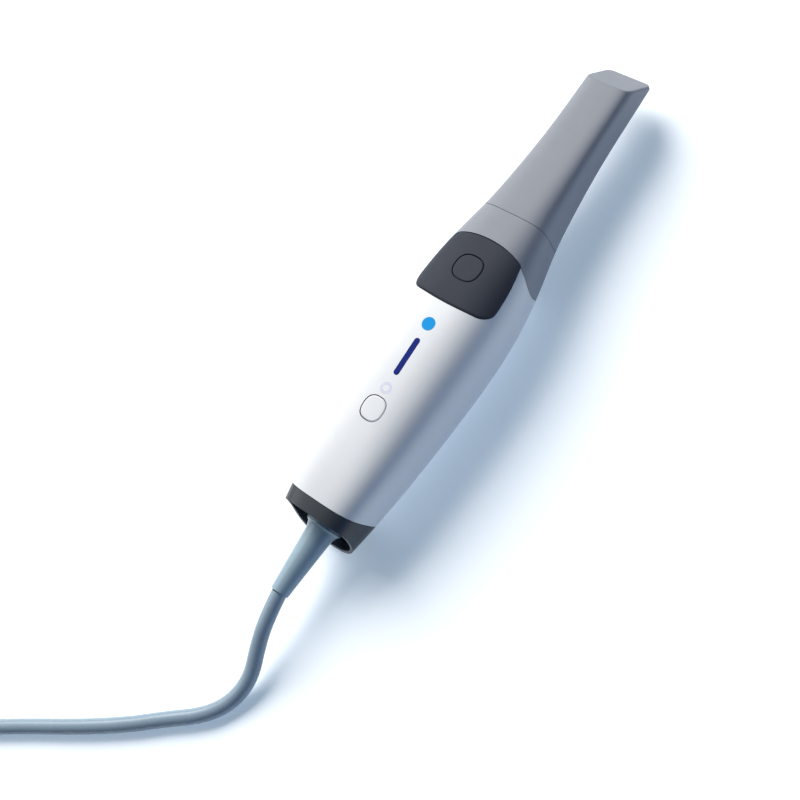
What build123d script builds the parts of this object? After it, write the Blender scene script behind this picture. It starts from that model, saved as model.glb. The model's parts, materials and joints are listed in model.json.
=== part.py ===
"""An intraoral scanner lying on its belly, with its cord and USB plug.

Millimetres, +X towards the scanning tip, +Z up, which is the side with the buttons. The origin is under
the middle of the handpiece, on the surface that it lies on. Stations are distances along the handpiece
from its rear rim, and heights are counted from the handpiece's long axis.
"""

from build123d import *
import os
from math import cos, pi, radians, sin, tan

os.makedirs("parts", exist_ok=True)

# Whole handpiece
LENGTH = 209.0  # rear rim to the end of the tip
AXIS_HEIGHT = 19.2  # the long axis above the surface that the handpiece lies on
WIDE = 60.0  # reaches past the body on every side
# Station, half width, height as a share of the width, squareness, rise of the middle above the axis
SECTIONS = [
    (-6, 13.3, 0.88, 3.2, 0.0),
    (12, 15.9, 0.88, 3.2, -0.15),
    (35, 18.2, 0.885, 3.1, -0.6),
    (65, 20.1, 0.89, 3.0, -1.1),
    (90, 20.6, 0.89, 3.0, -1.2),
    (108, 19.3, 0.885, 3.1, -0.9),
    (122, 16.9, 0.88, 3.5, -0.3),
    (136, 14.2, 0.875, 3.9, 0.0),
    (150, 12.5, 0.86, 4.3, 0.0),
    (163, 11.4, 0.84, 4.6, 0.0),
    (176, 10.7, 0.825, 4.8, 0.0),
    (189, 10.3, 0.82, 5.0, 0.0),
    (202, 10.05, 0.82, 5.0, 0.0),
    (215, 9.9, 0.82, 5.0, 0.0),
]
WALL = 2.0  # body shells
LIP = 1.1  # thickness of the tongues that locate one shell in the next
PLAY = 0.15  # beside a tongue
SEAM = 0.2  # open joint between two shells

# Seams in side view, as station and height
REAR_RIM = [(1.7, 22.0), (2.5, 0.0), (-6.1, -20.0)]  # scooped end of the rear cap
REAR_SEAM = [(5.4, 30.0), (17.2, -30.0)]  # rear cap to body
SIDE_SEAM = [(4.0, -9.4), (68.0, -14.0), (124.0, -11.0)]  # body to bottom cover
NOSE_SEAM = [(118.0, 11.9), (113.8, -1.2), (119.2, -17.0)]  # body to nose
TIP_SEAM = 134.0
RIM_WALL = 1.2
TONGUE = 3.0  # how far a tongue reaches into the next shell
TONGUE_ROOT = 2.5
FIT = 0.05  # all round a piece that is pressed or dropped into place

# Button panel in plan, as station and side
PANEL_REAR, PANEL_REAR_CORNER = 92.5, (94.0, 17.2)
PANEL_FRONT, PANEL_FRONT_CORNER = 121.2, (118.4, 14.8)
PANEL_SIDE = (109.0, 16.5)
PANEL_PROUD = 0.3
PANEL_THICK = 1.3

# Buttons: station, height, slope of the top there in degrees, half sizes
FRONT_BUTTON = (107.6, 15.9, -6.5, (5.2, 5.45))
REAR_BUTTON = (46.8, 15.8, 2.9, (4.7, 4.5))
BUTTON_GROOVE = 0.3
BUTTON_DEEP = 3.0
FLANGE_WIDER = 1.1  # the button's flange under the shell
STEM_RADIUS = 1.6
FLANGE_THICK = 1.0
PLUNGER_TOP, SWITCH_TOP, PLUNGER_END = 4.8, 5.6, 6.8  # down from the top of the button
SWITCH_SIZE, SWITCH_HEIGHT, SWITCH_BORE = 6.0, 3.2, (1.9, 2.4)  # bore radius and depth
BOARD_HALF_WIDTH, BOARD_THICK = 10.5, 1.0
POST_RADIUS, POST_SIDE = 1.5, 8.9

# Indicator light
INDICATOR = (55.3, 16.2, 2.3)  # station, height, slope
RING_RADIUS, RING_HOLE, RING_DEEP, LAMP_CAP_DEEP = 2.1, 1.4, 7.2, 2.2

# Removable tip
TIP_WALL = 1.5
TIP_TOP_END = (196.2, 8.2)  # upper edge of the slanted end face
TIP_SLANT = 47.3  # the end face against the long axis, in degrees
TIP_LIP_RADIUS = 4.0
TIP_END_HALF_WIDTH, TIP_CORNER_RADIUS = 10.6, 5.0  # rounding of the closed end in plan
SCAN_WINDOW = (190.5, 204.5, 7.0)  # from, to, half width
WINDOW_CUT_TOP = -5.0  # height inside the tip that the window is cut down from
MIRROR = (13.4, 12.6, 1.0)  # length, width, thickness
MIRROR_HEIGHT = 0.7
BARREL_CLEAR = 0.4  # between the tip and the barrel that it slides over
BARREL_START, BARREL_END = 121.3, 163.0
BARREL_WALL = 1.2
GASKET = (137.0, 138.4)
FRONT_GLASS = 1.6  # thickness

# Inside, as heights from the long axis
BENCH_START, BENCH_END, BENCH_HALF_WIDTH = 12.0, 128.0, 8.6
BENCH_TOP, BENCH_THICK = -6.8, 1.6
MAIN_BOARD = (24.0, 97.0, 8.6)  # from, to, half width
MAIN_BOARD_BOTTOM, MAIN_BOARD_THICK = -1.4, 1.6
STANDOFFS = [(28.0, 6.6), (93.0, 6.6)]
PROJECTOR = (104.0, 138.0, 6.0, 4.9)  # from, to, half width, half height
PROJECTOR_BARREL_RADIUS, PROJECTOR_BARREL_END = 3.7, 155.0
CAMERA_SIDE, CAMERA_RADIUS, CAMERA_START, CAMERA_END = 6.3, 2.1, 142.0, 155.0
SCREW_RADIUS, HEAD_RADIUS, HEAD_HEIGHT, PILOT_RADIUS = 1.0, 1.9, 1.4, 1.05
# Station, side and height of the seat of each bottom cover screw's head
COVER_SCREWS = [(30.0, 11.1, -13.0), (104.0, 12.8, -14.6)]
BOSS_RADIUS, COVER_SCREW_LENGTH = 2.1, 8.0
BENCH_SCREWS = [(34.0, 6.2), (100.0, 6.2)]  # station and side
CLAMP = (13.0, 18.0, 6.5, 8.2)  # from, to, half width, height
CABLE_END, WIRE_DIAMETER = 20.0, 0.7

# Cord, strain relief and plug
CORD_DIAMETER = 6.0
CORD_RISE = -3.75  # where the cord leaves the body, from the long axis
RELIEF_END = -26.0
BULKHEAD = (5.6, 7.4)
REST = CORD_DIAMETER / 2  # height of the middle of a cord that lies on the surface
COIL_CENTRE = (-188.7, 92.9)  # station and side
COIL_RADIUS = 32.0
COIL_LAYERS = 3
COIL_EXIT_HEIGHT = (COIL_LAYERS - 0.5) * CORD_DIAMETER
# Station, side and height above the surface
LEAD_ROUTE = [
    (-26.0, 0.0, 15.45),
    (-36.5, -0.9, 14.1),
    (-47.5, -2.5, 9.8),
    (-58.5, -3.0, 5.6),
    (-69.5, -0.9, REST),
    (-79.5, 4.6, REST),
    (-89.0, 13.4, REST),
    (-99.5, 27.0, REST),
    (-111.0, 44.2, REST),
    (-125.6, 66.5, REST),
    (-140.2, 87.2, REST),
    (-156.7, 112.5, REST),
]
TAIL_ROUTE = [
    (-226.2, 92.9, COIL_EXIT_HEIGHT),
    (-226.5, 82.0, 13.9),
    (-227.2, 70.0, 10.2),
    (-228.3, 58.0, 6.2),
    (-229.4, 47.0, 4.3),
    (-230.0, 37.0, 4.0),
]
GRIP_WIDTH, GRIP_HEIGHT, GRIP_LENGTH = 15.0, 8.0, 29.0
PLUG_WIDTH, PLUG_HEIGHT, PLUG_LENGTH, PLUG_SHEET = 12.0, 4.5, 18.75, 0.3


# Places and planes


def at(station, y=0.0, height=0.0):
    """A point of the handpiece, with its height counted from the long axis."""
    return (station - LENGTH / 2, y, AXIS_HEIGHT + height)


def on_surface(point):
    """A point of the cord, with its height counted from the surface below."""
    station, y, height = point
    return (station - LENGTH / 2, y, height)


SIDE = Plane(origin=at(0), x_dir=(1, 0, 0), z_dir=(0, -1, 0))
PLAN = Plane(origin=at(0), x_dir=(1, 0, 0), z_dir=(0, 0, 1))


def across(station, y=0.0, height=0.0):
    """A plane square to the long axis: its x is the body's +Y, its y is +Z and its z is +X."""
    return Plane(origin=at(station, y, height), x_dir=(0, 1, 0), z_dir=(1, 0, 0))


def sloping(station, height, slope, down=0.0):
    """A plane along the sloping top of the body, or some way below it, with its z pointing outwards."""
    along, out = cos(radians(slope)), sin(radians(slope))
    origin = at(station + down * out, 0, height - down * along)
    return Plane(origin=origin, x_dir=(along, 0, out), z_dir=(-out, 0, along))


def squircle(half_x, half_y, power=2.5, count=32):
    """Points round a shape between an ellipse and a rectangle."""
    points = []
    for step in range(count):
        angle = 2 * pi * step / count - pi / 2
        reach = (abs(cos(angle)) ** power + abs(sin(angle)) ** power) ** (-1 / power)
        points.append((half_x * reach * cos(angle), half_y * reach * sin(angle)))
    return points


def moved(line, along=0.0, up=0.0):
    """A side-view line moved along the handpiece and up."""
    return [(station + along, height + up) for station, height in line]


# Solids that the shells are cut from and cut with


def form(inset):
    """The whole handpiece as one smooth solid, drawn in by an even depth."""
    with BuildPart() as solid:
        for station, half_width, ratio, power, rise in SECTIONS:
            with BuildSketch(across(station, 0, rise)):
                with BuildLine():
                    outline = squircle(half_width - inset, ratio * half_width - inset, power)
                    Spline(*outline, periodic=True)
                make_face()
        loft()
    return solid.part


def from_line(line, end):
    """Everything between a straight side-view line and a station nearer the tip."""
    (top, high), (bottom, low) = line
    with BuildPart() as solid:
        with BuildSketch(SIDE):
            with BuildLine():
                Polyline((top, high), (end, high), (end, low), (bottom, low), close=True)
            make_face()
        extrude(amount=WIDE, both=True)
    return solid.part


def between(start, end):
    """Everything between two stations."""
    return from_line([(start, WIDE), (start, -WIDE)], end)


def past_arc(arc, corners):
    """Everything between a curved side-view seam and the corners that close its outline."""
    with BuildPart() as solid:
        with BuildSketch(SIDE):
            with BuildLine():
                ThreePointArc(*arc)
                Polyline(arc[2], *corners, arc[0])
            make_face()
        extrude(amount=WIDE, both=True)
    return solid.part


def nose_side(along):
    """Everything on the tip's side of the nose's curved edge, moved along the handpiece."""
    arc = moved(NOSE_SEAM, along)
    front = LENGTH + WIDE
    corners = [(arc[2][0], -WIDE), (front, -WIDE), (front, WIDE), (arc[0][0], WIDE)]
    return past_arc(arc, corners)


def rim_side():
    """Everything on the tip's side of the rear cap's curved rim."""
    corners = [(REAR_RIM[2][0], -WIDE), (TIP_SEAM, -WIDE), (TIP_SEAM, WIDE), (REAR_RIM[0][0], WIDE)]
    return past_arc(REAR_RIM, corners)


def cover_side(down):
    """Everything under the seam between the body and its bottom cover, moved down."""
    arc = moved(SIDE_SEAM, up=-down)
    return past_arc(arc, [(arc[2][0], -WIDE), (arc[0][0], -WIDE)])


def panel_prism(margin):
    """The upright outline of the button panel, widened by a margin."""
    (rear, rear_y), (front, front_y), (side, side_y) = PANEL_REAR_CORNER, PANEL_FRONT_CORNER, PANEL_SIDE
    rear, front = rear - margin, front + margin
    rear_y, front_y, side_y = rear_y + margin, front_y + margin, side_y + margin
    with BuildPart() as solid:
        with BuildSketch(PLAN) as outline:
            with BuildLine():
                ThreePointArc((rear, -rear_y), (PANEL_REAR - margin, 0), (rear, rear_y))
                ThreePointArc((rear, rear_y), (side, side_y), (front, front_y))
                ThreePointArc((front, front_y), (PANEL_FRONT + margin, 0), (front, -front_y))
                ThreePointArc((front, -front_y), (side, -side_y), (rear, -rear_y))
            make_face()
            fillet(outline.vertices().sort_by(Axis.X)[:2], radius=5.0 + margin)
            fillet(outline.vertices().sort_by(Axis.X)[-2:], radius=1.5 + margin)
        extrude(amount=WIDE)
    return solid.part


def tip_prism(start, inset):
    """The side view of the tip's closed end, drawn in by an inset, from a starting station."""
    slope = tan(radians(TIP_SLANT))
    station, height = TIP_TOP_END
    shifted = station - inset / sin(radians(TIP_SLANT))
    end = LENGTH - inset
    top, foot = (shifted - (WIDE - height) / slope, WIDE), (end, height - (end - shifted) * slope)
    with BuildPart() as solid:
        with BuildSketch(SIDE) as outline:
            with BuildLine():
                Polyline((start, -WIDE), (start, WIDE), top, foot, (end, -WIDE), close=True)
            make_face()
            fillet(outline.vertices().sort_by_distance(foot)[0], radius=TIP_LIP_RADIUS - inset)
        extrude(amount=WIDE, both=True)
    return solid.part


def tip_plan(start, inset):
    """The plan of the tip's closed end with its rounded corners, from a starting station."""
    end, half, middle = LENGTH - inset, TIP_END_HALF_WIDTH - inset, LENGTH - TIP_CORNER_RADIUS
    with BuildPart() as solid:
        with BuildSketch(PLAN) as outline:
            with BuildLine():
                Polyline((start, -WIDE), (start, WIDE), (middle, WIDE), (middle, half))
                Polyline((middle, half), (end, half), (end, -half), (middle, -half))
                Polyline((middle, -half), (middle, -WIDE), (start, -WIDE))
            make_face()
            fillet(outline.vertices().group_by(Axis.X)[-1], radius=TIP_CORNER_RADIUS - inset)
        extrude(amount=WIDE, both=True)
    return solid.part


def button_prism(button, margin, top, deep):
    """A column under or over a button, square to the surface there."""
    station, height, slope, (half_x, half_y) = button
    with BuildPart() as solid:
        with BuildSketch(sloping(station, height, slope, -top)):
            with BuildLine():
                Spline(*squircle(half_x + margin, half_y + margin), periodic=True)
            make_face()
        extrude(amount=-(top + deep))
    return solid.part


OUTER = form(0)
INNER = form(WALL)
MIDDLE = form(WALL / 2)
TONGUE_OUTER = form(WALL + PLAY)
TONGUE_INNER = form(WALL + PLAY + LIP)
PANEL_OUTER = form(-PANEL_PROUD)
PANEL_INNER = form(PANEL_THICK - PANEL_PROUD)
PANEL_BED = form(PANEL_THICK - PANEL_PROUD + PLAY)
TIP_INNER = form(TIP_WALL)
BARREL_OUTER = form(TIP_WALL + BARREL_CLEAR)
BARREL_INNER = form(WALL + PLAY + BARREL_WALL)

with BuildPart() as panel_pocket:
    add(panel_prism(SEAM))
    add(PANEL_BED, mode=Mode.SUBTRACT)


# Removable tip

with BuildPart() as tip_cavity:
    add(TIP_INNER)
    add(tip_prism(TIP_SEAM - WIDE, TIP_WALL), mode=Mode.INTERSECT)
    add(tip_plan(TIP_SEAM - WIDE, TIP_WALL), mode=Mode.INTERSECT)

with BuildPart() as tip_shell:
    add(OUTER)
    add(tip_prism(TIP_SEAM + SEAM / 2, 0), mode=Mode.INTERSECT)
    end_from, end_to = at(TIP_TOP_END[0] - 1)[0], at(LENGTH + 1)[0]
    end_edges = tip_shell.edges().filter_by_position(Axis.X, end_from, end_to)
    fillet(end_edges, radius=0.9)
    add(tip_plan(TIP_SEAM, 0), mode=Mode.INTERSECT)
    corners = tip_shell.faces().filter_by(GeomType.CYLINDER).filter_by(
        lambda face: abs(face.normal_at().Z) < 0.01 and face.center().X > end_from
    )
    fillet(corners.edges().filter_by(lambda edge: edge.length > 1), radius=0.5)
    add(tip_cavity.part, mode=Mode.SUBTRACT)
    window_from, window_to, window_half = SCAN_WINDOW
    with BuildSketch(PLAN.offset(WINDOW_CUT_TOP)):
        with Locations(((window_from + window_to) / 2, 0)):
            RectangleRounded(window_to - window_from, 2 * window_half, 3.0)
    extrude(amount=-WIDE, mode=Mode.SUBTRACT)

mirror_length, mirror_width, mirror_thick = MIRROR
mirror_station = TIP_TOP_END[0] + (TIP_TOP_END[1] - MIRROR_HEIGHT) / tan(radians(TIP_SLANT))
mirror_station -= (TIP_WALL + PLAY) / sin(radians(TIP_SLANT))
with BuildPart() as tip_mirror:
    with BuildSketch(sloping(mirror_station, MIRROR_HEIGHT, -TIP_SLANT)):
        Rectangle(mirror_length, mirror_width)
    extrude(amount=-mirror_thick)
    chamfer(tip_mirror.edges(), length=0.15)


# Optics barrel that the tip slides over

with BuildPart() as barrel_base:
    add(TONGUE_OUTER)
    add(between(BARREL_START, TIP_SEAM + 2 * SEAM), mode=Mode.INTERSECT)

with BuildPart() as optics_barrel:
    add(BARREL_OUTER)
    add(between(TIP_SEAM + SEAM, BARREL_END), mode=Mode.INTERSECT)
    fillet(optics_barrel.edges().group_by(Axis.X)[-1], radius=0.5)
    add(barrel_base.part)
    add(BARREL_INNER, mode=Mode.SUBTRACT)

with BuildPart() as front_window:
    add(form(WALL + PLAY + BARREL_WALL + FIT))
    add(between(BARREL_END - FRONT_GLASS, BARREL_END), mode=Mode.INTERSECT)

with BuildPart() as tip_gasket:
    add(form(TIP_WALL + FIT))
    add(between(*GASKET), mode=Mode.INTERSECT)
    add(BARREL_OUTER, mode=Mode.SUBTRACT)


# Body shells

with BuildPart() as nose_root:
    add(TONGUE_OUTER)
    add(nose_side(-TONGUE), mode=Mode.INTERSECT)
    add(nose_side(TONGUE_ROOT), mode=Mode.SUBTRACT)
    add(TONGUE_INNER, mode=Mode.SUBTRACT)

with BuildPart() as nose_bore:
    add(INNER)
    add(nose_side(TONGUE_ROOT), mode=Mode.INTERSECT)

with BuildPart() as nose_shell:
    add(OUTER)
    add(nose_side(SEAM / 2), mode=Mode.INTERSECT)
    add(between(0, TIP_SEAM - SEAM / 2), mode=Mode.INTERSECT)
    add(panel_pocket.part, mode=Mode.SUBTRACT)
    add(nose_bore.part, mode=Mode.SUBTRACT)
    add(TONGUE_INNER, mode=Mode.SUBTRACT)
    add(nose_root.part)

with BuildPart() as cover_bosses:
    with BuildSketch(PLAN.offset(-WIDE / 2)):
        for station, side, _ in COVER_SCREWS:
            with Locations((station, side), (station, -side)):
                Circle(BOSS_RADIUS)
    extrude(amount=WIDE)
    add(MIDDLE, mode=Mode.INTERSECT)

with BuildPart() as body_bosses:
    add(cover_bosses.part)
    add(cover_side(-SEAM / 2), mode=Mode.SUBTRACT)
    for station, height, slope, _ in (FRONT_BUTTON, REAR_BUTTON):
        with BuildSketch(sloping(station, height, slope, SWITCH_TOP + SWITCH_HEIGHT)):
            with Locations((0, POST_SIDE), (0, -POST_SIDE)):
                Circle(POST_RADIUS)
        extrude(amount=WIDE)
    add(MIDDLE, mode=Mode.INTERSECT)

with BuildPart() as lower_bosses:
    add(cover_bosses.part)
    add(cover_side(SEAM / 2), mode=Mode.INTERSECT)
    with BuildSketch(PLAN.offset(BENCH_TOP - BENCH_THICK)):
        for station, side in BENCH_SCREWS:
            with Locations((station, side), (station, -side)):
                Circle(BOSS_RADIUS)
    extrude(amount=-WIDE)
    add(MIDDLE, mode=Mode.INTERSECT)

station, height, slope = INDICATOR
with BuildPart() as indicator_hole:
    with BuildSketch(sloping(station, height, slope, -2)):
        Circle(RING_RADIUS + FIT)
    extrude(amount=-RING_DEEP)

with BuildPart() as main_shell:
    add(OUTER)
    add(INNER, mode=Mode.SUBTRACT)
    add(from_line(moved(REAR_SEAM, SEAM / 2), TIP_SEAM), mode=Mode.INTERSECT)
    add(nose_side(-SEAM / 2), mode=Mode.SUBTRACT)
    add(cover_side(-SEAM / 2), mode=Mode.SUBTRACT)
    add(panel_pocket.part, mode=Mode.SUBTRACT)
    add(body_bosses.part)
    add(button_prism(FRONT_BUTTON, BUTTON_GROOVE, 3, BUTTON_DEEP), mode=Mode.SUBTRACT)
    add(button_prism(REAR_BUTTON, BUTTON_GROOVE, 3, BUTTON_DEEP), mode=Mode.SUBTRACT)
    add(indicator_hole.part, mode=Mode.SUBTRACT)
    for station, side, seat in COVER_SCREWS:
        with BuildSketch(PLAN.offset(seat)):
            with Locations((station, side), (station, -side)):
                Circle(PILOT_RADIUS)
        extrude(amount=COVER_SCREW_LENGTH + 0.5, mode=Mode.SUBTRACT)

with BuildPart() as bottom_cover:
    add(OUTER)
    add(INNER, mode=Mode.SUBTRACT)
    add(from_line(moved(REAR_SEAM, SEAM / 2), TIP_SEAM), mode=Mode.INTERSECT)
    add(nose_side(-SEAM / 2), mode=Mode.SUBTRACT)
    add(cover_side(SEAM / 2), mode=Mode.INTERSECT)
    with BuildSketch(PLAN.offset(-AXIS_HEIGHT)):
        with Locations((LENGTH / 2, 0)):
            Rectangle(2 * LENGTH, WIDE)
    extrude(amount=-WIDE, mode=Mode.SUBTRACT)
    add(lower_bosses.part)
    for station, side, seat in COVER_SCREWS:
        with BuildSketch(PLAN.offset(seat)):
            with Locations((station, side), (station, -side)):
                Circle(HEAD_RADIUS + PLAY)
        extrude(amount=-WIDE, mode=Mode.SUBTRACT)
        with BuildSketch(PLAN.offset(seat)):
            with Locations((station, side), (station, -side)):
                Circle(SCREW_RADIUS + PLAY)
        extrude(amount=WIDE, mode=Mode.SUBTRACT)
    with BuildSketch(PLAN.offset(BENCH_TOP - BENCH_THICK)):
        for station, side in BENCH_SCREWS:
            with Locations((station, side), (station, -side)):
                Circle(PILOT_RADIUS)
    extrude(amount=-4.0, mode=Mode.SUBTRACT)

with BuildPart() as button_panel:
    add(PANEL_OUTER)
    add(panel_prism(0), mode=Mode.INTERSECT)
    fillet(button_panel.faces().sort_by(Axis.Z)[-1].edges(), radius=1.0)
    add(PANEL_INNER, mode=Mode.SUBTRACT)
    add(button_prism(FRONT_BUTTON, BUTTON_GROOVE, 3, BUTTON_DEEP), mode=Mode.SUBTRACT)


# Rear end

with BuildPart() as cap_root:
    add(TONGUE_OUTER)
    add(rim_side(), mode=Mode.INTERSECT)
    add(from_line(moved(REAR_SEAM, TONGUE), TIP_SEAM), mode=Mode.SUBTRACT)
    add(between(-WIDE, BULKHEAD[1]), mode=Mode.SUBTRACT)
    add(TONGUE_INNER, mode=Mode.SUBTRACT)

with BuildPart() as cap_recess:
    add(form(RIM_WALL))
    add(between(-WIDE, BULKHEAD[0]), mode=Mode.INTERSECT)

with BuildPart() as cap_bore:
    add(INNER)
    add(between(-WIDE, BULKHEAD[1]), mode=Mode.INTERSECT)

with BuildPart() as rear_cap:
    add(OUTER)
    add(rim_side(), mode=Mode.INTERSECT)
    add(from_line(moved(REAR_SEAM, -SEAM / 2), TIP_SEAM), mode=Mode.SUBTRACT)
    add(cap_recess.part, mode=Mode.SUBTRACT)
    add(cap_bore.part, mode=Mode.SUBTRACT)
    add(TONGUE_INNER, mode=Mode.SUBTRACT)
    add(cap_root.part)

with BuildPart() as rear_plate:
    add(form(WALL + FIT))
    add(between(*BULKHEAD), mode=Mode.INTERSECT)
    with BuildSketch(across(BULKHEAD[0], 0, CORD_RISE)):
        Circle(4.9)
    extrude(amount=BULKHEAD[1] - BULKHEAD[0], mode=Mode.SUBTRACT)
    with BuildSketch(across(BULKHEAD[0], 0, 6.4)):
        with GridLocations(3.2, 1, 5, 1):
            SlotOverall(4.4, 1.4, rotation=90)
    extrude(amount=BULKHEAD[1] - BULKHEAD[0], mode=Mode.SUBTRACT)

with BuildPart() as strain_relief:
    with BuildSketch(Plane(origin=at(0, 0, CORD_RISE), x_dir=(1, 0, 0), z_dir=(0, -1, 0))):
        with BuildLine():
            Line((RELIEF_END, REST), (RELIEF_END, 3.6))
            Line((RELIEF_END, 3.6), (-4.0, 5.2))
            Spline((-4.0, 5.2), (0.6, 5.9), (2.2, 7.25), tangents=[(1, 0.073), (0.3, 1)])
            Polyline((2.2, 7.25), (BULKHEAD[0], 7.25), (BULKHEAD[0], 4.8), (BULKHEAD[1], 4.8))
            Polyline((BULKHEAD[1], 4.8), (BULKHEAD[1], 6.2), (9.2, 5.4), (9.2, REST), (RELIEF_END, REST))
        make_face()
    revolve(axis=Axis(at(0, 0, CORD_RISE), (1, 0, 0)))


# Buttons with their switches, and the indicator light


def build_button(button, skin):
    """A button: its cap flush with the skin round it, a flange that keeps it in, and a stem."""
    station, height, slope, (half_x, half_y) = button
    with BuildPart() as cap:
        add(skin)
        add(button_prism(button, 0, 3, BUTTON_DEEP), mode=Mode.INTERSECT)
        fillet(cap.faces().sort_by(Axis.Z)[-1].edges(), radius=0.5)
        with BuildSketch(sloping(station, height, slope, BUTTON_DEEP)):
            with BuildLine():
                Spline(*squircle(half_x + FLANGE_WIDER, half_y + FLANGE_WIDER), periodic=True)
            make_face()
        extrude(amount=-FLANGE_THICK)
        with BuildSketch(sloping(station, height, slope, BUTTON_DEEP)):
            Circle(STEM_RADIUS)
        extrude(amount=-(PLUNGER_TOP - BUTTON_DEEP))
    return cap


def build_plunger(button):
    """The switch's own plunger, which moves with the button."""
    station, height, slope, _ = button
    with BuildPart() as plunger:
        with BuildSketch(sloping(station, height, slope, PLUNGER_TOP)):
            Circle(STEM_RADIUS)
        extrude(amount=-(PLUNGER_END - PLUNGER_TOP))
        fillet(plunger.edges().group_by(Axis.Z)[0], radius=0.3)
    return plunger


def build_switch(button):
    """The switch body, with the bore that its plunger moves in."""
    station, height, slope, _ = button
    bore_radius, bore_deep = SWITCH_BORE
    with BuildPart() as switch:
        with BuildSketch(sloping(station, height, slope, SWITCH_TOP)):
            RectangleRounded(SWITCH_SIZE, SWITCH_SIZE, 0.6)
        extrude(amount=-SWITCH_HEIGHT)
        with BuildSketch(sloping(station, height, slope, SWITCH_TOP)):
            Circle(bore_radius)
        extrude(amount=-bore_deep, mode=Mode.SUBTRACT)
    return switch


def build_switch_board(button, rear, front):
    """The circuit board under a switch, reaching from behind it to in front of it."""
    station, height, slope, _ = button
    with BuildPart() as board:
        with BuildSketch(sloping(station, height, slope, SWITCH_TOP + SWITCH_HEIGHT)):
            with Locations(((front - rear) / 2, 0)):
                RectangleRounded(rear + front, 2 * BOARD_HALF_WIDTH, 1.5)
        extrude(amount=-BOARD_THICK)
    return board


front_button = build_button(FRONT_BUTTON, PANEL_OUTER)
rear_button = build_button(REAR_BUTTON, OUTER)
front_switch_plunger = build_plunger(FRONT_BUTTON)
rear_switch_plunger = build_plunger(REAR_BUTTON)
front_switch = build_switch(FRONT_BUTTON)
rear_switch = build_switch(REAR_BUTTON)
front_switch_board = build_switch_board(FRONT_BUTTON, 5.0, 5.0)
rear_switch_board = build_switch_board(REAR_BUTTON, 5.0, 11.5)

station, height, slope = INDICATOR
with BuildPart() as indicator_ring:
    add(OUTER)
    with BuildSketch(sloping(station, height, slope, -2)):
        Circle(RING_RADIUS)
        Circle(RING_HOLE, mode=Mode.SUBTRACT)
    extrude(amount=-(RING_DEEP + 2), mode=Mode.INTERSECT)

with BuildPart() as indicator_cap:
    add(OUTER)
    with BuildSketch(sloping(station, height, slope, -2)):
        Circle(RING_HOLE - FIT)
    extrude(amount=-(LAMP_CAP_DEEP + 2), mode=Mode.INTERSECT)

button_station, button_height, button_slope, _ = REAR_BUTTON
with BuildPart() as indicator_led:
    with BuildSketch(sloping(button_station, button_height, button_slope, SWITCH_TOP + SWITCH_HEIGHT)):
        with Locations((INDICATOR[0] - button_station + 0.4, 0)):
            RectangleRounded(3.0, 3.0, 0.3)
    extrude(amount=1.1)


# Inside: bench, boards, projector and cameras

with BuildPart() as optical_bench:
    with BuildSketch(PLAN.offset(BENCH_TOP)):
        with Locations(((BENCH_START + BENCH_END) / 2, 0)):
            RectangleRounded(BENCH_END - BENCH_START, 2 * BENCH_HALF_WIDTH, 2.0)
    extrude(amount=-BENCH_THICK)
    with BuildSketch(PLAN.offset(BENCH_TOP)):
        for station, side in STANDOFFS:
            with Locations((station, side), (station, -side)):
                Circle(1.9)
    extrude(amount=MAIN_BOARD_BOTTOM - BENCH_TOP)
    with BuildSketch(PLAN.offset(MAIN_BOARD_BOTTOM)):
        for station, side in STANDOFFS:
            with Locations((station, side), (station, -side)):
                Circle(PILOT_RADIUS)
    extrude(amount=-4.0, mode=Mode.SUBTRACT)
    with BuildSketch(PLAN.offset(BENCH_TOP)):
        for station, side in BENCH_SCREWS:
            with Locations((station, side), (station, -side)):
                Circle(SCREW_RADIUS + PLAY)
    extrude(amount=-BENCH_THICK, mode=Mode.SUBTRACT)

board_from, board_to, board_half = MAIN_BOARD
board_top = MAIN_BOARD_BOTTOM + MAIN_BOARD_THICK
with BuildPart() as mainboard:
    with BuildSketch(PLAN.offset(MAIN_BOARD_BOTTOM)):
        with Locations(((board_from + board_to) / 2, 0)):
            RectangleRounded(board_to - board_from, 2 * board_half, 1.0)
        for station, side in STANDOFFS:
            with Locations((station, side), (station, -side)):
                Circle(SCREW_RADIUS + PLAY, mode=Mode.SUBTRACT)
    extrude(amount=MAIN_BOARD_THICK)

with BuildPart() as board_chips:
    with BuildSketch(PLAN.offset(board_top)):
        with Locations((66, 0)):
            Rectangle(12, 12)
        with Locations((45, -4), (45, 4)):
            Rectangle(9, 6)
        with Locations((83, 4.6)):
            Rectangle(5, 5)
        with Locations((83, -4)):
            Rectangle(7, 5)
    extrude(amount=1.3)

with BuildPart() as heat_sink:
    with BuildSketch(PLAN.offset(board_top + 1.3)):
        with Locations((66, 0)):
            Rectangle(17, 15)
    extrude(amount=1.2)
    with BuildSketch(PLAN.offset(board_top + 2.5)):
        with Locations((66, 0)):
            with GridLocations(1, 2.8, 1, 6):
                Rectangle(17, 1.0)
    extrude(amount=3.2)

with BuildPart() as cable_connector:
    with BuildSketch(PLAN.offset(board_top)):
        with Locations((board_from + 9, 0)):
            Rectangle(6.0, 9.0)
    extrude(amount=3.6)

with BuildPart() as cable_clamp:
    with BuildSketch(PLAN.offset(BENCH_TOP)):
        with Locations(((CLAMP[0] + CLAMP[1]) / 2, 0)):
            Rectangle(CLAMP[1] - CLAMP[0], 2 * CLAMP[2])
    extrude(amount=CLAMP[3])
    fillet(cable_clamp.edges().filter_by(Axis.X).group_by(Axis.Z)[-1], radius=2.5)
    with BuildSketch(across(CLAMP[0], 0, CORD_RISE)):
        Circle(REST + FIT)
        with Locations((0, -2)):
            Rectangle(2 * (REST + FIT), 4)
    extrude(amount=CLAMP[1] - CLAMP[0], mode=Mode.SUBTRACT)

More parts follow.
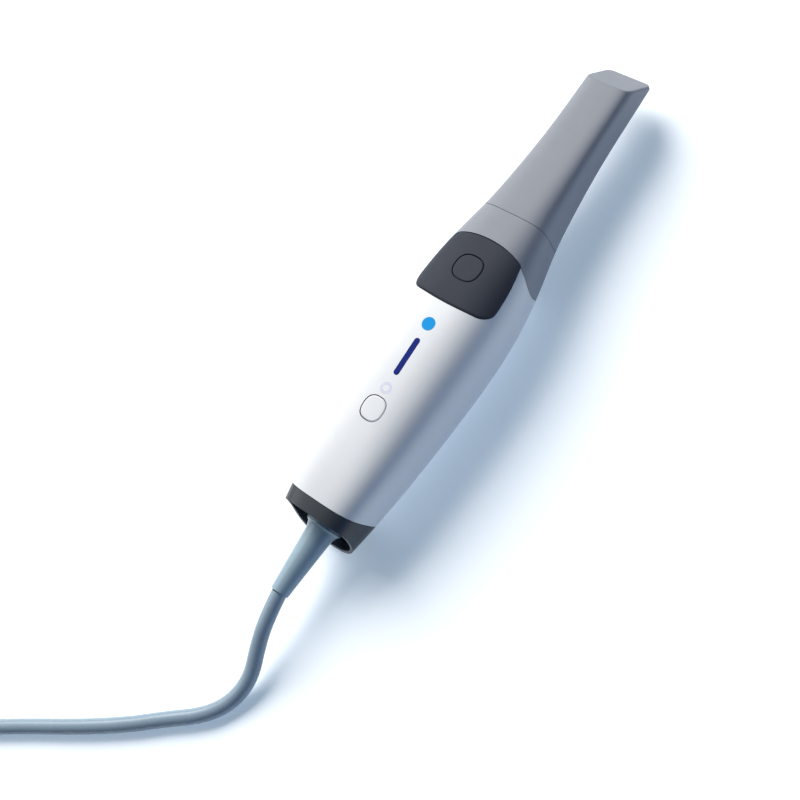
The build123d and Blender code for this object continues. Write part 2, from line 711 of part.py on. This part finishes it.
housing_from, housing_to, housing_half, housing_rise = PROJECTOR
with BuildPart() as projector_housing:
    with BuildSketch(across(housing_from)):
        RectangleRounded(2 * housing_half, 2 * housing_rise, 1.2)
    extrude(amount=housing_to - housing_from)
    with BuildSketch(across(housing_to)):
        Circle(PROJECTOR_BARREL_RADIUS)
    extrude(amount=PROJECTOR_BARREL_END - housing_to)
    with BuildSketch(PLAN.offset(BENCH_TOP)):
        with Locations((housing_from + 6, 0), (125, 0)):
            Rectangle(4, 9)
    extrude(amount=-housing_rise - BENCH_TOP)
    with BuildSketch(across(housing_from)):
        Circle(2.9)
    extrude(amount=PROJECTOR_BARREL_END - housing_from, mode=Mode.SUBTRACT)

with BuildPart() as projector_lens:
    with BuildSketch(across(PROJECTOR_BARREL_END)):
        Circle(PROJECTOR_BARREL_RADIUS - 0.4)
    extrude(amount=2.4)
    fillet(projector_lens.edges().group_by(Axis.X)[-1], radius=1.4)

with BuildPart() as projector_lamp:
    with BuildSketch(across(housing_from)):
        RectangleRounded(9.0, 9.0, 1.0)
    extrude(amount=-1.6)
    with BuildSketch(across(housing_from)):
        Circle(2.4)
    extrude(amount=1.5)


def build_camera_lens(side):
    """One stereo camera's lens barrel, with a stepped front."""
    with BuildPart() as lens:
        with BuildSketch(across(CAMERA_START, side)):
            Circle(CAMERA_RADIUS)
        extrude(amount=CAMERA_END - CAMERA_START - 3)
        with BuildSketch(across(CAMERA_END - 3, side)):
            Circle(CAMERA_RADIUS - 0.35)
        extrude(amount=3)
        fillet(lens.edges().group_by(Axis.X)[-1], radius=0.5)
    return lens


def build_camera_board(side):
    """The sensor board behind a camera lens."""
    with BuildPart() as board:
        with BuildSketch(across(CAMERA_START, side * 1.03)):
            RectangleRounded(5.2, 7.0, 0.4)
        extrude(amount=-1.0)
    return board


left_camera_lens = build_camera_lens(CAMERA_SIDE)
right_camera_lens = build_camera_lens(-CAMERA_SIDE)
left_camera_board = build_camera_board(CAMERA_SIDE)
right_camera_board = build_camera_board(-CAMERA_SIDE)


# Fasteners


def build_screws(places, length, facing):
    """Pan-head screws as one group, from the station, side and seat height of each pair."""
    with BuildPart() as screws:
        for station, side, seat in places:
            for mirrored in (side, -side):
                with BuildSketch(PLAN.offset(seat)):
                    with Locations((station, mirrored)):
                        Circle(HEAD_RADIUS)
                extrude(amount=facing * HEAD_HEIGHT)
                with BuildSketch(PLAN.offset(seat)):
                    with Locations((station, mirrored)):
                        Circle(SCREW_RADIUS)
                extrude(amount=-facing * length)
                with BuildSketch(PLAN.offset(seat + facing * HEAD_HEIGHT)):
                    with Locations((station, mirrored)):
                        Rectangle(2.2, 0.5)
                        Rectangle(0.5, 2.2)
                extrude(amount=-facing * 0.7, mode=Mode.SUBTRACT)
    return screws


cover_screws = build_screws(COVER_SCREWS, COVER_SCREW_LENGTH, -1)
bench_screws = build_screws([(*place, BENCH_TOP) for place in BENCH_SCREWS], 4.8, 1)
board_screws = build_screws([(*place, board_top) for place in STANDOFFS], 4.8, 1)


# Cord: inside the body, along the surface, coiled, and on to the plug


def bend_radii(route):
    """The largest bend at each point of a route that leaves a tenth of the shorter run straight."""
    radii = []
    for before, point, after in zip(route, route[1:], route[2:]):
        arriving, leaving = Vector(point) - Vector(before), Vector(after) - Vector(point)
        half_turn = radians(arriving.get_angle(leaving)) / 2
        radii.append(0.45 * min(arriving.length, leaving.length) / tan(half_turn))
    return radii


def build_cord(name, stations):
    """A cord's tube along a route of straight runs joined by tangent bends."""
    route = [on_surface(point) for point in stations]
    radii = bend_radii(route)
    print(name, "bend radii", [round(radius) for radius in radii])
    with BuildPart() as tube:
        with BuildLine() as path:
            FilletPolyline(*route, radius=radii)
        with BuildSketch(Plane(origin=path.line @ 0, z_dir=path.line % 0)):
            Circle(CORD_DIAMETER / 2)
        sweep(path=path.line)
    length = path.wires()[0].length
    share = tube.part.volume / (length * pi * CORD_DIAMETER**2 / 4)
    print(name, "length", round(length, 1), "volume against section times length", round(share, 4))
    return tube


cable_lead = build_cord("cable_lead", LEAD_ROUTE)
cable_tail = build_cord("cable_tail", TAIL_ROUTE)

with BuildPart() as cable_core:
    with BuildSketch(across(RELIEF_END, 0, CORD_RISE)):
        Circle(CORD_DIAMETER / 2)
    extrude(amount=CABLE_END - RELIEF_END)

with BuildPart() as cable_wires:
    for side in (-1.5, -0.5, 0.5, 1.5):
        wire_top = board_top + 1.8
        turn = CABLE_END + 2.2
        with BuildLine() as wire_path:
            FilletPolyline(
                at(CABLE_END, side, CORD_RISE),
                at(turn, side, CORD_RISE),
                at(turn, side, wire_top),
                at(board_from + 6, side, wire_top),
                radius=1.2,
            )
        with BuildSketch(across(CABLE_END, side, CORD_RISE)):
            Circle(WIRE_DIAMETER / 2)
        sweep(path=wire_path.line)

with BuildPart() as cable_coil:
    station, side = COIL_CENTRE
    layers = COIL_LAYERS * CORD_DIAMETER
    with BuildSketch(Plane(origin=on_surface((station, side, 0)), x_dir=(1, 0, 0), z_dir=(0, -1, 0))):
        with Locations((COIL_RADIUS, layers / 2)):
            RectangleRounded(layers, layers, REST - 0.1)
    revolve(axis=Axis(on_surface((station, side, 0)), (0, 0, 1)))


# Plug, lying flat and pointing to -Y

PLUG_BACK = Plane(origin=on_surface(TAIL_ROUTE[-1]), x_dir=(1, 0, 0), z_dir=(0, -1, 0))
PLUG_FACE = PLUG_BACK.offset(GRIP_LENGTH)

with BuildPart() as plug_grip:
    with BuildSketch(PLUG_BACK):
        RectangleRounded(7.4, 6.6, 2.4)
    with BuildSketch(PLUG_BACK.offset(6)):
        RectangleRounded(GRIP_WIDTH, GRIP_HEIGHT, 2.4)
    loft()
    with BuildSketch(PLUG_BACK.offset(6)):
        RectangleRounded(GRIP_WIDTH, GRIP_HEIGHT, 2.4)
    extrude(amount=GRIP_LENGTH - 6)
    fillet(plug_grip.edges().group_by(Axis.Y)[0], radius=1.0)

with BuildPart() as plug_shell:
    with BuildSketch(PLUG_FACE):
        RectangleRounded(PLUG_WIDTH, PLUG_HEIGHT, 0.4)
        Rectangle(PLUG_WIDTH - 2 * PLUG_SHEET, PLUG_HEIGHT - 2 * PLUG_SHEET, mode=Mode.SUBTRACT)
    extrude(amount=PLUG_LENGTH)
    with BuildSketch(Plane(origin=(PLUG_FACE.offset(9.5)).origin, x_dir=(1, 0, 0), z_dir=(0, 0, 1))):
        with Locations((-3, 0), (3, 0)):
            Rectangle(2.2, 2.4)
    extrude(amount=PLUG_HEIGHT, both=True, mode=Mode.SUBTRACT)

with BuildPart() as plug_insulator:
    with BuildSketch(PLUG_FACE):
        with Locations((0, 0.9)):
            Rectangle(PLUG_WIDTH - 2 * PLUG_SHEET - 0.2, 1.9)
    extrude(amount=PLUG_LENGTH - 0.6)

with BuildPart() as plug_contacts:
    with BuildSketch(PLUG_FACE.offset(6)):
        with Locations((-3.5, -0.15), (-1, -0.15), (1, -0.15), (3.5, -0.15)):
            Rectangle(1.0, 0.2)
    extrude(amount=PLUG_LENGTH - 8)


PIECES = {
    "tip_shell": tip_shell,
    "tip_mirror": tip_mirror,
    "tip_gasket": tip_gasket,
    "optics_barrel": optics_barrel,
    "front_window": front_window,
    "nose_shell": nose_shell,
    "main_shell": main_shell,
    "bottom_cover": bottom_cover,
    "button_panel": button_panel,
    "rear_cap": rear_cap,
    "rear_plate": rear_plate,
    "strain_relief": strain_relief,
    "front_button": front_button,
    "rear_button": rear_button,
    "front_switch_plunger": front_switch_plunger,
    "rear_switch_plunger": rear_switch_plunger,
    "front_switch": front_switch,
    "rear_switch": rear_switch,
    "front_switch_board": front_switch_board,
    "rear_switch_board": rear_switch_board,
    "indicator_ring": indicator_ring,
    "indicator_cap": indicator_cap,
    "indicator_led": indicator_led,
    "optical_bench": optical_bench,
    "mainboard": mainboard,
    "board_chips": board_chips,
    "heat_sink": heat_sink,
    "projector_housing": projector_housing,
    "projector_lens": projector_lens,
    "projector_lamp": projector_lamp,
    "left_camera_lens": left_camera_lens,
    "right_camera_lens": right_camera_lens,
    "left_camera_board": left_camera_board,
    "right_camera_board": right_camera_board,
    "cover_screws": cover_screws,
    "bench_screws": bench_screws,
    "board_screws": board_screws,
    "cable_clamp": cable_clamp,
    "cable_connector": cable_connector,
    "cable_wires": cable_wires,
    "cable_core": cable_core,
    "cable_lead": cable_lead,
    "cable_coil": cable_coil,
    "cable_tail": cable_tail,
    "plug_grip": plug_grip,
    "plug_shell": plug_shell,
    "plug_insulator": plug_insulator,
    "plug_contacts": plug_contacts,
}
for name, piece in PIECES.items():
    piece.part.label = name
    export_step(piece.part, f"parts/{name}.step")
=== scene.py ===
"""An intraoral scanner on a pale floor: camera, cord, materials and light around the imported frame.

The frame is the CAD part's, in metres. Stations are distances along the handpiece from its rear rim, in
millimetres, and so are the sides and heights given with them. Heights are counted from the handpiece's
long axis, as in the part's own source, except that those of the cord's route are above the surface.
"""

import json
from math import cos, pi, radians, sin

import bpy
from mathutils import Matrix, Vector


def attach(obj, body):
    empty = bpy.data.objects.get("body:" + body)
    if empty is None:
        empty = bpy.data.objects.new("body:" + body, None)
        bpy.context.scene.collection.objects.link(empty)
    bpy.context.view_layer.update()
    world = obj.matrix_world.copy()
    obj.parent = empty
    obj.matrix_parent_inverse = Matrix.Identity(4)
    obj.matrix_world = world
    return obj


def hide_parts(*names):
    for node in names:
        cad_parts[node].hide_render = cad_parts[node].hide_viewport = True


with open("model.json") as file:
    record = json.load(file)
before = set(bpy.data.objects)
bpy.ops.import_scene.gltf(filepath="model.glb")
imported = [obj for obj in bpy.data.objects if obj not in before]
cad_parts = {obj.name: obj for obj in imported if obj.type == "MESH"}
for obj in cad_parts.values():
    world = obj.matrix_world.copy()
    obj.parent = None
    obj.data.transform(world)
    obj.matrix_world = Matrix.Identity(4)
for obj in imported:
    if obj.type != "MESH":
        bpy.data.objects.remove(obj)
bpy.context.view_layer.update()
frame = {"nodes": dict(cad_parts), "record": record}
NODES = frame["nodes"]

LENGTH = 0.209  # of the handpiece, in metres
AXIS_HEIGHT = 0.0192  # of its long axis above the surface, in metres
CORD_DIAMETER = 0.006  # metres


def at(station, side=0.0, height=0.0):
    """A point given in millimetres: station, side and height from the long axis."""
    return Vector((station / 1000 - LENGTH / 2, side / 1000, AXIS_HEIGHT + height / 1000))


def link(obj):
    bpy.context.scene.collection.objects.link(obj)
    return obj


# Camera

CAMERA_STATION = 5.8  # the point of the long axis that the camera stands over
CAMERA_DISTANCE = 472.06  # millimetres from that point
CAMERA_LEAN = 27.83  # degrees from straight above, towards -Y
CAMERA_AHEAD = 6.08  # degrees that it looks towards the tip
CAMERA_ROLL = 55.89  # degrees between the picture's right and the long axis
SENSOR_WIDTH, FOCAL_LENGTH = 36.0, 58.5  # millimetres
LENS_SHIFT = (-0.00347, 0.00235)  # shares of the picture's width


def place_camera():
    lean, ahead, roll = radians(CAMERA_LEAN), radians(CAMERA_AHEAD), radians(CAMERA_ROLL)
    outwards = Vector((0, -sin(lean), cos(lean)))
    along = Vector((1, 0, 0))
    forward = along * sin(ahead) - outwards * cos(ahead)
    tipwards = along * cos(ahead) + outwards * sin(ahead)
    sidewards = forward.cross(tipwards)
    right = tipwards * cos(roll) + sidewards * sin(roll)
    up = tipwards * sin(roll) - sidewards * cos(roll)
    data = bpy.data.cameras.new("camera")
    data.sensor_width, data.lens = SENSOR_WIDTH, FOCAL_LENGTH
    data.shift_x, data.shift_y = LENS_SHIFT
    data.clip_start, data.clip_end = 0.01, 20.0
    camera = link(bpy.data.objects.new("camera", data))
    place = Matrix((right, up, -forward)).transposed().to_4x4()
    place.translation = at(CAMERA_STATION) + outwards * CAMERA_DISTANCE / 1000
    camera.matrix_world = place
    bpy.context.scene.camera = camera


place_camera()

# Cord: close to the route of the part's own tubes, with the coil's turns between them

COIL_CENTRE = (-188.7, 92.9)  # station and side
COIL_RADIUS = 32.0  # millimetres, to the middle of the coil's bundle
TURN_POINTS = 16  # control points in each turn
# Station, side and height above the surface
LEAD_ROUTE = [
    (-26.0, 0.0, 15.45),
    (-36.5, -0.9, 14.1),
    (-46.7, -2.1, 9.8),
    (-57.4, -4.8, 5.6),
    (-68.7, -2.7, 3.0),
    (-78.7, 3.5, 3.0),
    (-89.9, 17.5, 3.0),
    (-98.8, 27.6, 3.0),
    (-111.0, 44.2, 3.0),
    (-125.6, 66.5, 3.0),
    (-140.2, 87.2, 3.0),
]
TAIL_ROUTE = [
    (-226.5, 82.0, 13.9),
    (-227.2, 70.0, 10.2),
    (-228.3, 58.0, 6.2),
    (-229.4, 47.0, 4.3),
    (-230.0, 37.0, 4.0),
]
# Cells of the coil's bundle that one turn after another fills: steps outwards and layer
CELLS = [(1, 0), (0, 0), (-1, 0), (-1, 1), (-1, 2), (0, 2), (0, 1), (1, 1), (1, 2)]
ENTRY_ANGLE, LEAVE_ANGLE = 31.5, 180.0  # degrees round the coil
STEP_SHARE = 0.3  # share of a turn in which it crosses to the next cell


def on_floor(point):
    station, side, height = point
    return Vector((station / 1000 - LENGTH / 2, side / 1000, height / 1000))


def coil_points():
    """The coil's turns, each a diameter from the last, with smooth steps between them."""
    total = (len(CELLS) - 1) + (LEAVE_ANGLE - ENTRY_ANGLE) / 360
    points = []
    count = round(total * TURN_POINTS)
    for index in range(count + 1):
        done = total * index / count
        turn = min(int(done), len(CELLS) - 1)
        cell, following = CELLS[turn], CELLS[min(turn + 1, len(CELLS) - 1)]
        share = max(0.0, (done - turn - 1 + STEP_SHARE) / STEP_SHARE)
        share = share * share * (3 - 2 * share)
        across = cell[0] + (following[0] - cell[0]) * share
        layer = cell[1] + (following[1] - cell[1]) * share
        angle = radians(ENTRY_ANGLE + 360 * done)
        radius = COIL_RADIUS + across * CORD_DIAMETER * 1000
        station, side = COIL_CENTRE[0] + radius * cos(angle), COIL_CENTRE[1] + radius * sin(angle)
        points.append((station, side, (layer + 0.5) * CORD_DIAMETER * 1000))
    return points


def build_cord():
    curve = bpy.data.curves.new("cord", "CURVE")
    curve.dimensions = "3D"
    curve.bevel_depth = 1.0  # times the radius of each control point
    curve.bevel_resolution = 7
    curve.resolution_u = 6
    spline = curve.splines.new("NURBS")
    points = [on_floor(point) for point in LEAD_ROUTE + coil_points() + TAIL_ROUTE]
    spline.points.add(len(points) - 1)
    for control, point in zip(spline.points, points):
        control.co, control.radius = (*point, 1.0), CORD_DIAMETER / 2
    spline.order_u = 3
    spline.use_endpoint_u = True
    return link(bpy.data.objects.new("cord", curve))


cord = build_cord()

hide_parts("cable_lead", "cable_coil", "cable_tail")
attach(cord, "handpiece")

# Finishes

USUAL_SPECULAR = 0.35
GLOSS_SCALE = 180  # patches of uneven gloss per metre


def finish(name, colour, roughness, grain=(0, 0), mottle=(60, 0.03), wear=0.05, **inputs):
    """A procedural material: a colour that wanders a little, uneven gloss and a moulded or worked grain.

    grain is the size of its features in millimetres and the height of its bump in micrometres. mottle is
    a scale in features per metre and a share of the colour. wear is how far the roughness wanders.
    """
    made = bpy.data.materials.new(name)
    made.use_nodes = True
    nodes, links = made.node_tree.nodes, made.node_tree.links
    shader = nodes["Principled BSDF"]
    shader.inputs["Specular IOR Level"].default_value = USUAL_SPECULAR
    for key, value in inputs.items():
        shader.inputs[key].default_value = value
    where = nodes.new("ShaderNodeTexCoord").outputs["Object"]

    def noise(scale, detail):
        node = nodes.new("ShaderNodeTexNoise")
        node.inputs["Scale"].default_value = scale
        node.inputs["Detail"].default_value = detail
        links.new(where, node.inputs["Vector"])
        return node.outputs["Fac"]

    shade = nodes.new("ShaderNodeMix")
    shade.data_type = "RGBA"
    shade.inputs["A"].default_value = (*(c * (1 - mottle[1]) for c in colour), 1)
    shade.inputs["B"].default_value = (*(min(1, c * (1 + mottle[1])) for c in colour), 1)
    links.new(noise(mottle[0], 3), shade.inputs["Factor"])
    links.new(shade.outputs["Result"], shader.inputs["Base Color"])

    gloss = nodes.new("ShaderNodeMapRange")
    gloss.inputs["From Min"].default_value = 0.3
    gloss.inputs["From Max"].default_value = 0.7
    gloss.inputs["To Min"].default_value = max(0.02, roughness - wear)
    gloss.inputs["To Max"].default_value = min(1.0, roughness + wear)
    links.new(noise(GLOSS_SCALE, 5), gloss.inputs["Value"])
    links.new(gloss.outputs["Result"], shader.inputs["Roughness"])

    if grain[0]:
        bump = nodes.new("ShaderNodeBump")
        bump.inputs["Strength"].default_value = 1.0
        bump.inputs["Distance"].default_value = grain[1] / 1e6
        links.new(noise(1000 / grain[0], 2), bump.inputs["Height"])
        links.new(bump.outputs["Normal"], shader.inputs["Normal"])
    return made


GREY = (0.265, 0.28, 0.315)
CHARCOAL = (0.049, 0.054, 0.068)
WHITE = (0.69, 0.705, 0.725)
dull = {"Specular IOR Level": 0.03}
satin = {"Specular IOR Level": 0.15}
glassy = {"Transmission Weight": 0.8}
tinted = {"Transmission Weight": 0.6}
glow = {"Emission Color": (0.68, 0.84, 1.0, 1), "Emission Strength": 0.37}
FINISHES = {
    "tip_grey": finish("tip_grey", GREY, 0.5, (0.25, 5), wear=0.03, **satin),
    "nose_grey": finish("nose_grey", GREY, 0.5, (0.25, 5), wear=0.03, **satin),
    "panel_charcoal": finish("panel_charcoal", CHARCOAL, 0.5, (0.2, 5), wear=0.03, **dull),
    "front_button_charcoal": finish("front_button_charcoal", CHARCOAL, 0.5, (0.2, 4), wear=0.03, **dull),
    "body_white": finish("body_white", WHITE, 0.36, (0.3, 1.5), (25, 0.01), 0.02),
    "rear_button_white": finish("rear_button_white", WHITE, 0.34, (0.3, 1.5), (25, 0.01), 0.02),
    "ring_lavender": finish("ring_lavender", (0.60, 0.61, 0.76), 0.3, (0.3, 2), wear=0.02),
    "cap_charcoal": finish("cap_charcoal", (0.038, 0.045, 0.055), 0.36, (0.2, 5), wear=0.03),
    # The part inside the rear recess is dark plastic, made near-black as painted shade of the recess,
    # darker than the cap's own charcoal
    "recess_black": finish("recess_black", (0.006, 0.008, 0.011), 0.5, (0.2, 8)),
    "relief_slate": finish("relief_slate", (0.28, 0.385, 0.455), 0.3, (0.4, 3), (80, 0.05), 0.04),
    "cord_slate": finish("cord_slate", (0.26, 0.345, 0.42), 0.26, (0.5, 3), (80, 0.06), 0.04),
    "plug_grip_slate": finish("plug_grip_slate", (0.09, 0.13, 0.18), 0.42, (0.2, 8)),
    "plug_metal": finish("plug_metal", (0.62, 0.62, 0.60), 0.22, (0.1, 2), Metallic=1.0),
    "plug_insulator_white": finish("plug_insulator_white", (0.75, 0.75, 0.73), 0.45, (0.2, 4)),
    "contact_gold": finish("contact_gold", (0.85, 0.62, 0.25), 0.2, (0.1, 1), Metallic=1.0),
    "mirror_silver": finish("mirror_silver", (0.90, 0.91, 0.92), 0.05, Metallic=1.0),
    "gasket_black": finish("gasket_black", (0.012, 0.012, 0.014), 0.6, (0.3, 12)),
    "barrel_black": finish("barrel_black", (0.018, 0.018, 0.02), 0.4, (0.2, 8)),
    "window_glass": finish("window_glass", (0.55, 0.60, 0.65), 0.06, **glassy),
    "lens_glass": finish("lens_glass", (0.25, 0.28, 0.40), 0.05, **tinted),
    "lens_black": finish("lens_black", (0.02, 0.02, 0.022), 0.35, (0.15, 6)),
    "switch_metal": finish("switch_metal", (0.6, 0.6, 0.6), 0.3, (0.15, 3), Metallic=1.0),
    "plunger_black": finish("plunger_black", (0.02, 0.02, 0.022), 0.4, (0.15, 6)),
    "board_green": finish("board_green", (0.02, 0.16, 0.07), 0.35, (0.6, 6)),
    "lamp_yellow": finish("lamp_yellow", (0.85, 0.68, 0.12), 0.3, (0.2, 4)),
    "led_white": finish("led_white", (0.82, 0.82, 0.78), 0.3, (0.2, 4)),
    "chip_black": finish("chip_black", (0.02, 0.02, 0.022), 0.5, (0.15, 8)),
    "sink_aluminium": finish("sink_aluminium", (0.7, 0.71, 0.72), 0.35, (0.2, 6), Metallic=1.0),
    "bench_aluminium": finish("bench_aluminium", (0.66, 0.67, 0.68), 0.4, (0.3, 8), Metallic=1.0),
    "housing_black": finish("housing_black", (0.025, 0.025, 0.028), 0.45, (0.2, 8)),
    "screw_steel": finish("screw_steel", (0.55, 0.55, 0.56), 0.25, (0.15, 3), Metallic=1.0),
    "clamp_black": finish("clamp_black", (0.02, 0.02, 0.022), 0.5, (0.2, 8)),
    "connector_white": finish("connector_white", (0.78, 0.77, 0.72), 0.4, (0.2, 4)),
    "wire_red": finish("wire_red", (0.5, 0.03, 0.03), 0.35, (0.3, 4)),
    "floor": finish("floor", (0.86, 0.865, 0.87), 0.8, (1.5, 6), (8, 0.004), **glow),
    "mark_cyan": finish("mark_cyan", (0.01, 0.30, 0.70), 0.4, (0.3, 1.5), (300, 0.05), 0.03, **dull),
    "mark_navy": finish("mark_navy", (0.008, 0.02, 0.18), 0.4, (0.3, 1.5), (300, 0.05), 0.03, **dull),
}


def coat(obj, name):
    obj.data.materials.clear()
    obj.data.materials.append(FINISHES[name])


for piece in frame["record"]["subparts"]:
    coat(NODES[piece["node"]], piece["material_slot"])
coat(cord, "cord_slate")

# Printed mark on the body: a plain dot and a plain bar, as thin skins that follow the shell

MARK_THICK = 0.00006  # metres
MARK_DOT = (82.8, 2.6)  # station and radius
MARK_BAR = (61.0, 76.5, 1.15)  # from, to and half width
ABOVE_SHELL = 30  # height over the long axis that is clear of the body


def on_shell(station, side):
    """The point of the body's top at a station and a side, in metres."""
    above = at(station, side, ABOVE_SHELL)
    _, place, _, _ = NODES["main_shell"].ray_cast(above, Vector((0, 0, -1)))
    return place + Vector((0, 0, MARK_THICK / 2))


def mark(name, start, end, radius, rings=6, sectors=48):
    """A skin with round ends along the body's middle, built as rings round its centre line."""
    mesh = bpy.data.meshes.new(name)
    points, faces = [], []
    for ring in range(rings + 1):
        for sector in range(sectors):
            angle = 2 * pi * (sector + 0.5) / sectors
            middle = end if cos(angle) > 0 else start
            reach = radius * ring / rings
            points.append(on_shell(middle + reach * cos(angle), reach * sin(angle)))
    for ring in range(rings):
        for sector in range(sectors):
            following = (sector + 1) % sectors
            inner, outer = ring * sectors, (ring + 1) * sectors
            faces.append((inner + sector, outer + sector, outer + following, inner + following))
    mesh.from_pydata(points, [], faces)
    obj = link(bpy.data.objects.new(name, mesh))
    weld = obj.modifiers.new("weld", "WELD")  # joins the points that meet on the centre line
    weld.merge_threshold = 1e-6
    thick = obj.modifiers.new("thick", "SOLIDIFY")
    thick.thickness, thick.offset = MARK_THICK, 0
    return obj


dot = mark("mark_dot", MARK_DOT[0], MARK_DOT[0], MARK_DOT[1])
bar = mark("mark_bar", MARK_BAR[0] + MARK_BAR[2], MARK_BAR[1] - MARK_BAR[2], MARK_BAR[2], 3)
for piece, name in ((dot, "mark_cyan"), (bar, "mark_navy")):
    coat(piece, name)
    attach(piece, "handpiece")

# Floor and light

FLOOR_SIZE = 3.0  # metres from the middle to each side
FLOOR_HEIGHT = -0.0001  # just under what rests on it
corners = [(x * FLOOR_SIZE, y * FLOOR_SIZE) for x, y in ((-1, -1), (1, -1), (1, 1), (-1, 1))]
ground = bpy.data.meshes.new("floor")
ground.from_pydata([(*corner, FLOOR_HEIGHT) for corner in corners], [], [(0, 1, 2, 3)])
floor = link(bpy.data.objects.new("floor", ground))
coat(floor, "floor")


LIT_STATION = 60  # the point of the long axis that the lamps face


def light(name, station, side, height, size, power, colour):
    """A rectangular area lamp at a place in millimetres, of a size in metres."""
    data = bpy.data.lights.new(name, "AREA")
    data.shape = "RECTANGLE"
    data.size, data.size_y = size
    data.energy, data.color = power, colour
    lamp = link(bpy.data.objects.new(name, data))
    lamp.location = at(station, side, height)
    facing = at(LIT_STATION) - lamp.location
    lamp.rotation_euler = facing.to_track_quat("-Z", "Y").to_euler()


light("key", 650, 1080, 1180, (1.15, 1.15), 45, (1, 0.985, 0.96))
light("left", -300, 1000, 600, (0.9, 0.6), 4, (1, 1, 1))
light("fill", 100, -900, 220, (0.9, 0.4), 1.0, (0.02, 0.32, 1.0))

world = bpy.data.worlds.new("world")
world.use_nodes = True
background = world.node_tree.nodes["Background"]
background.inputs["Color"].default_value = (0.35, 0.62, 1.0, 1)
background.inputs["Strength"].default_value = 0.08
bpy.context.scene.world = world
bpy.context.scene.view_settings.view_transform = "Standard"

bpy.context.view_layer.update()
